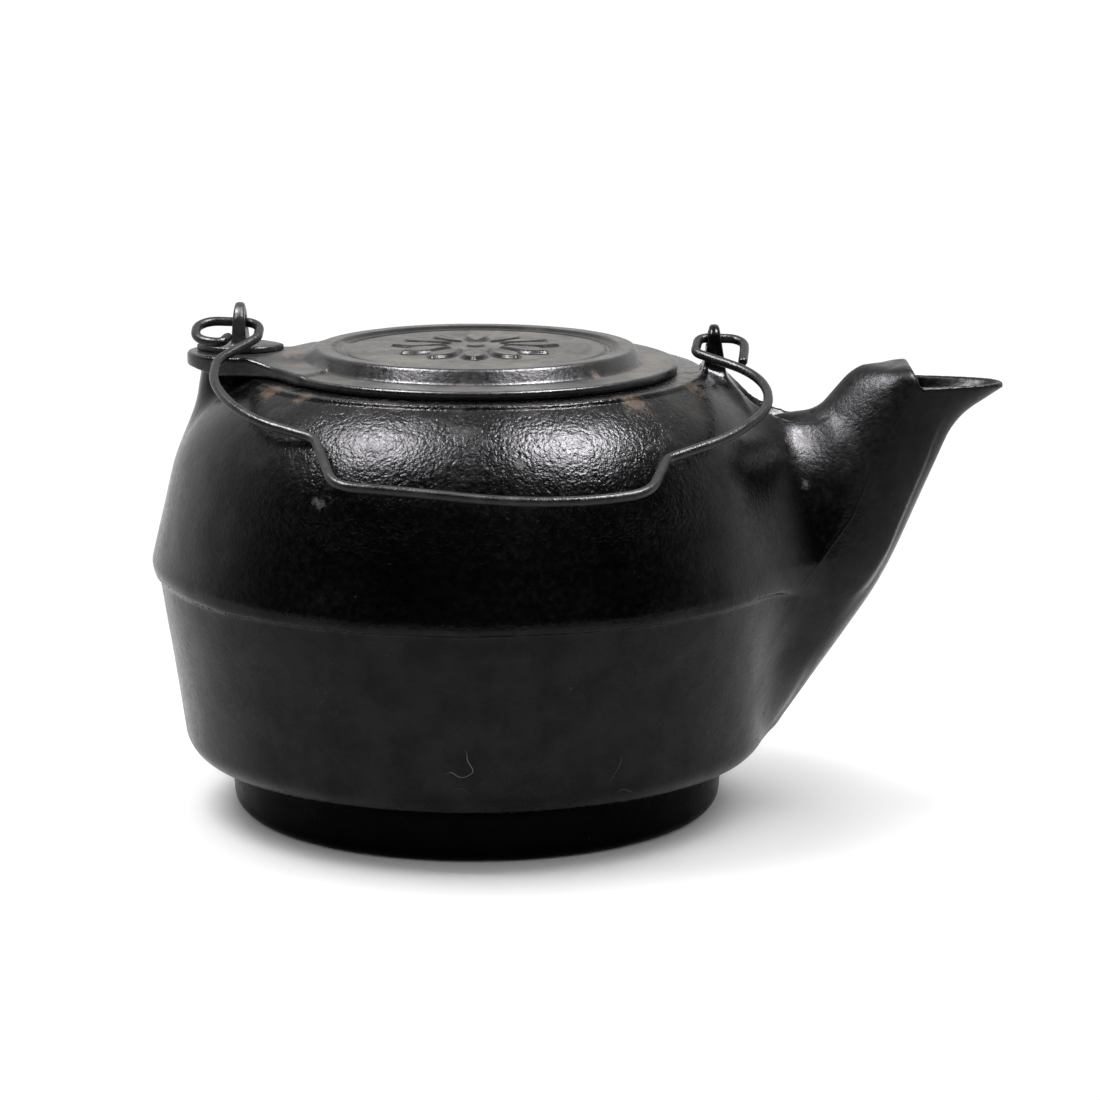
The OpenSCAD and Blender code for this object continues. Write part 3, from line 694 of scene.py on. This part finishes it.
def wire_material():
    """Smooth dark wire with a few specks of rust."""
    m, nt = new_material("dark_wire")
    n = Net(nt)
    p = n.coord()
    bs = n.surface()
    patch = n.noise(p, 120.0, 5.0, 0.65)
    colour = n.mix(n.ramp(patch, 0.42, 0.68), (0.004, 0.004, 0.0041, 1), (0.013, 0.012, 0.011, 1))
    spot = n.ramp(n.noise(p, 260.0, 4.0, 0.7), 0.62, 0.72)
    colour = n.mix(n.math("MULTIPLY", spot, 0.4), colour, (0.06, 0.036, 0.02, 1))
    n.put(bs.inputs["Base Color"], colour)
    n.put(bs.inputs["Roughness"], n.ramp(patch, 0.3, 0.7, 0.26, 0.42))
    n.put(bs.inputs["Normal"], n.bump(n.noise(p, 700.0, 3.0, 0.6), 0.00022))
    bs.inputs["Metallic"].default_value = 0.0
    bs.inputs["IOR"].default_value = 1.36
    return m


DUST = (0.085, 0.070, 0.055, 1)
RUST = (0.185, 0.125, 0.078, 1)
CHIP = (0.12, 0.12, 0.115, 1)
SCUFF = (0.12, 0.12, 0.122, 1)
FLAT_GREY, FLAT_TAN = (0.130, 0.127, 0.120, 1), (0.196, 0.184, 0.162, 1)
LINT_GREY = (0.32, 0.32, 0.31, 1)
# x, y, z and reach of each mark, in millimetres
RUST_SPOTS = [
    (78, -14, 192, 12), (70, -30, 192, 10), (-77, -8, 197, 14), (-74, -26, 195, 9), (-82, -52, 186.5, 13),
    (-68, -69, 187, 9), (73, 6, 192, 10), (66, -38, 192, 8), (51, -50, 193, 6), (66, -75, 186, 15),
    (90, -38, 187.5, 12), (92, -9, 188, 9)]
CHIPS = [(-60, -112, 151, 5), (-86, -24, 191, 5), (139, -30, 144, 4), (-48, -118, 140, 3), (20, -118, 168, 4)]
LINT = [(-1, -127, 45, 11), (66, -107, 40, 13)]
body_iron = iron("black_cast_iron", (0.0006, 0.0006, 0.00065), 0.22, 1.25, 1.0, rust=0.3, wear=0.2, seam_line=True)
lid_iron = iron("worn_cast_iron", (0.003, 0.0029, 0.0028), 0.32, 1.42, 0.26, rust=0.35, wear=0.3, flats=1.0)
ear_iron = iron("ear_iron", (0.006, 0.0058, 0.0055), 0.38, 1.42, 0.6, rust=0.4, wear=0.35)
wire_iron = wire_material()

# ---------------------------------------------------------------- pieces
v, q = nets(body_field, (-142, -142, -2), (230, 142, 213), 1.5)
# the parting line is drawn on the spout only
seam_gap = np.where(v[:, 0] < 136, 50, seam_table(v[:, 0], v[:, 2])[0])
body = mesh_object("kettle_casting", v, q, body_iron, attrs={"seam": seam_gap})
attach(body, "kettle")
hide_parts("kettle_body", "spout")


v, q = nets(lid_field, (-125, -88, 186), (89, 89, 202), 0.9)
lid = mesh_object("lid_casting", v, q, lid_iron)
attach(lid, "lid")
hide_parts("lid")

v, q = nets(rear_ear_field, (-121, -15, 172), (-79, 15, 219), 0.5)
ear = mesh_object("pivot_ear", v, q, ear_iron)
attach(ear, "kettle")
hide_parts("rear_ear")
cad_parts["ear_washer"].data.materials.clear()
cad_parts["ear_washer"].data.materials.append(ear_iron)

SPAN = math.hypot(REAR_X + FRONT_X, REAR_EYE - FRONT_EYE)
# centre line in the bail's own plane: x along the hinge line from the rear eye, y away from it
wire_line = rounded(
    [(-3.5, RING * 0.68), (-6.2, RING), (-17.3, RING * 0.93), (-18.2, 0), (8.8, 0), (8.6, RING * 0.71),
     (-6.4, BOW * 0.56), (-6.6, BOW * 0.86), (3, BOW * 1.2), (SPAN * 0.082, REACH * 0.613),
     (SPAN * 0.192, REACH * 0.693), (SPAN * 0.24, REACH * 0.953), (SPAN * 0.378, REACH * 0.973),
     (SPAN * 0.6, REACH * 1.012), (SPAN * 0.747, REACH * 0.987), (SPAN * 0.857, REACH * 0.933),
     (SPAN * 0.891, REACH * 0.74), (SPAN * 1.021, REACH * 0.603), (SPAN * 1.103, BOW * 0.985),
     (SPAN * 1.103, BOW * 0.535), (SPAN - 8.5, RING * 0.71), (SPAN - 6.5, 0), (SPAN + 12.7, 0), (SPAN + 12.5, 10),
     (SPAN + 11.3, 23)],
    [0, 3, 8.5, 9, 6.8, 10, 16, 40, 60, 40, 9, 12, 90, 150, 100, 17, 9, 70, 40, 34, 5, 5, 6.5, 40, 0], 12)
tilt = math.atan2(REAR_EYE - FRONT_EYE, REAR_X + FRONT_X)
u_dir = np.array([math.cos(tilt), 0, -math.sin(tilt)])
down = np.array([-math.sin(tilt), 0, -math.cos(tilt)])
v_dir = -math.cos(BAIL_REST) * np.array([0, 1, 0]) + math.sin(BAIL_REST) * down
n_dir = np.cross(u_dir, v_dir)


def tube(path, radius, sides):
    """Round wire along a flat path in the bail's plane, with worn round ends."""
    keep = [0] + [i for i in range(1, len(path)) if np.linalg.norm(path[i] - path[i - 1]) > 0.05]
    path = path[keep]
    n = int(np.linalg.norm(np.diff(path, axis=0), axis=1).sum() / 1.5)
    path = along(path, n)
    tang = np.gradient(path, axis=0)
    tang /= np.linalg.norm(tang, axis=1)[:, None]
    side = np.stack([-tang[:, 1], tang[:, 0]], 1)
    rad = np.full(n, radius)
    rad[[0, -1]] *= 0.78
    ang = np.arange(sides) * 2 * math.pi / sides
    ring = []
    for i in range(n):
        wob = 1 + 0.012 * math.sin(i * 0.37) + 0.01 * math.sin(i * 0.113 + 2)
        a = rad[i] * min(wob, 1.0) * np.cos(ang)
        b = rad[i] * min(wob, 1.0) * np.sin(ang)
        flat = path[i][None, :] + side[i][None, :] * a[:, None]
        ring.append(flat[:, :1] * u_dir + flat[:, 1:] * v_dir + b[:, None] * n_dir)
    ring = np.array(ring) + np.array([-REAR_X, 0, REAR_EYE])
    verts = ring.reshape(-1, 3)
    faces = []
    for i in range(n - 1):
        for k in range(sides):
            l = (k + 1) % sides
            faces.append((i * sides + k, i * sides + l, (i + 1) * sides + l, (i + 1) * sides + k))
    caps = [tuple(range(sides - 1, -1, -1)), tuple((n - 1) * sides + k for k in range(sides))]
    return verts, faces, caps


verts, faces, caps = tube(wire_line, WIRE_R, 16)
me = bpy.data.meshes.new("bail_wire")
me.from_pydata([tuple(c * S) for c in verts], [], faces + caps)
me.polygons.foreach_set("use_smooth", [True] * len(faces) + [False] * len(caps))
me.update()
me.materials.append(wire_iron)
bail = bpy.data.objects.new("bail_wire", me)
bpy.context.scene.collection.objects.link(bail)
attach(bail, "bail")
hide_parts("bail")

# ---------------------------------------------------------------- studio
scene = bpy.context.scene
scene.view_settings.view_transform = "Standard"

FLOOR = 6.0  # half of the floor's width, in metres
floor_me = bpy.data.meshes.new("floor")
floor_corners = [(x * FLOOR, y * FLOOR, 0) for x, y in ((-1, -1), (1, -1), (1, 1), (-1, 1))]
floor_me.from_pydata(floor_corners, [], [(0, 1, 2, 3)])
floor = bpy.data.objects.new("floor", floor_me)
scene.collection.objects.link(floor)
fm, nt = new_material("floor_white")
n = Net(nt)
out = n.node("ShaderNodeOutputMaterial")
# white with a soft shadow near the object, and shining white farther out
df = n.node("ShaderNodeBsdfDiffuse")
shade = n.math("ADD", 0.9, n.math("MULTIPLY", n.node("ShaderNodeLightPath").outputs["Is Camera Ray"], 0.30))
tone = n.node("ShaderNodeCombineXYZ")
for k in range(3):
    n.put(tone.inputs[k], shade)
n.put(df.inputs["Color"], tone.outputs[0])
glow = n.node("ShaderNodeEmission")
glow.inputs["Strength"].default_value = 1.05
mixer = n.node("ShaderNodeMixShader")
far = n.node("ShaderNodeVectorMath", operation="LENGTH")
n.put(far.inputs[0], n.coord())
n.put(mixer.inputs[0], n.ramp(far.outputs["Value"], 0.22, 0.40))
nt.links.new(df.outputs[0], mixer.inputs[1])
nt.links.new(glow.outputs[0], mixer.inputs[2])
nt.links.new(mixer.outputs[0], out.inputs[0])
floor_me.materials.append(fm)

AMBIENT, BACKDROP = 0.55, 1.1
world = bpy.data.worlds.new("studio")
scene.world = world
world.use_nodes = True
nt = world.node_tree
nt.nodes.clear()
n = Net(nt)
out = n.node("ShaderNodeOutputWorld")
bg = n.node("ShaderNodeBackground")
nt.links.new(bg.outputs[0], out.inputs[0])
lp = n.node("ShaderNodeLightPath")
# reflections see a bright far side and a black room behind the camera
behind = n.split(n.node("ShaderNodeTexCoord").outputs["Generated"])[1]
around = n.ramp(behind, -0.43, 0.50, 0.004, 1.0)
seen = n.math("ADD", n.math("MULTIPLY", lp.outputs["Is Glossy Ray"], n.math("SUBTRACT", around, AMBIENT)), AMBIENT)
backdrop = n.math("MULTIPLY", lp.outputs["Is Camera Ray"], n.math("SUBTRACT", BACKDROP, seen))
level = n.math("ADD", seen, backdrop)
bg.inputs["Color"].default_value = (1, 1, 1, 1)
n.put(bg.inputs["Strength"], level)


COOL = (1, 0.975, 1.03)


def area(name, loc, turn, size, size_y, power, colour=(1, 1, 1), gloss=True):
    """Area light for reflections only, or for everything but reflections."""
    li = bpy.data.lights.new(name, "AREA")
    li.shape = "RECTANGLE"
    li.size, li.size_y = size, size_y
    li.energy = power
    li.color = colour
    ob = bpy.data.objects.new(name, li)
    scene.collection.objects.link(ob)
    ob.visible_camera = False
    ob.visible_diffuse, ob.visible_glossy = not gloss, gloss
    ob.location = loc
    ob.rotation_euler = turn


area("strip_left", (-0.66, -0.30, 1.45), (0, -0.44, 0), 0.5, 0.6, 66, COOL)
area("strip_right", (0.62, -0.30, 1.45), (0, 0.42, 0), 0.5, 0.6, 78, COOL)
area("soft_left", (-0.7, 0.1, 1.5), (0, -0.42, 0), 0.8, 1.2, 16, gloss=False)
area("soft_right", (0.7, 0.1, 1.5), (0, 0.42, 0), 0.8, 1.2, 11, gloss=False)

# fitted to the outlines of foot, belt and lid in the photograph
FRAME_PX, FOCAL_PX, SENSOR = 1100, 3636, 36
CAMERA_AT, CAMERA_DIP = (0.0317, -1.5308, 0.4214), math.radians(11.51)
cam_data = bpy.data.cameras.new("camera")
cam = bpy.data.objects.new("camera", cam_data)
scene.collection.objects.link(cam)
scene.camera = cam
cam_data.sensor_width = SENSOR
cam_data.lens = SENSOR * FOCAL_PX / FRAME_PX
cam_data.clip_start = 0.05
cam_data.clip_end = 60
cam.location = CAMERA_AT
cam.rotation_euler = (math.pi / 2 - CAMERA_DIP, 0, 0)
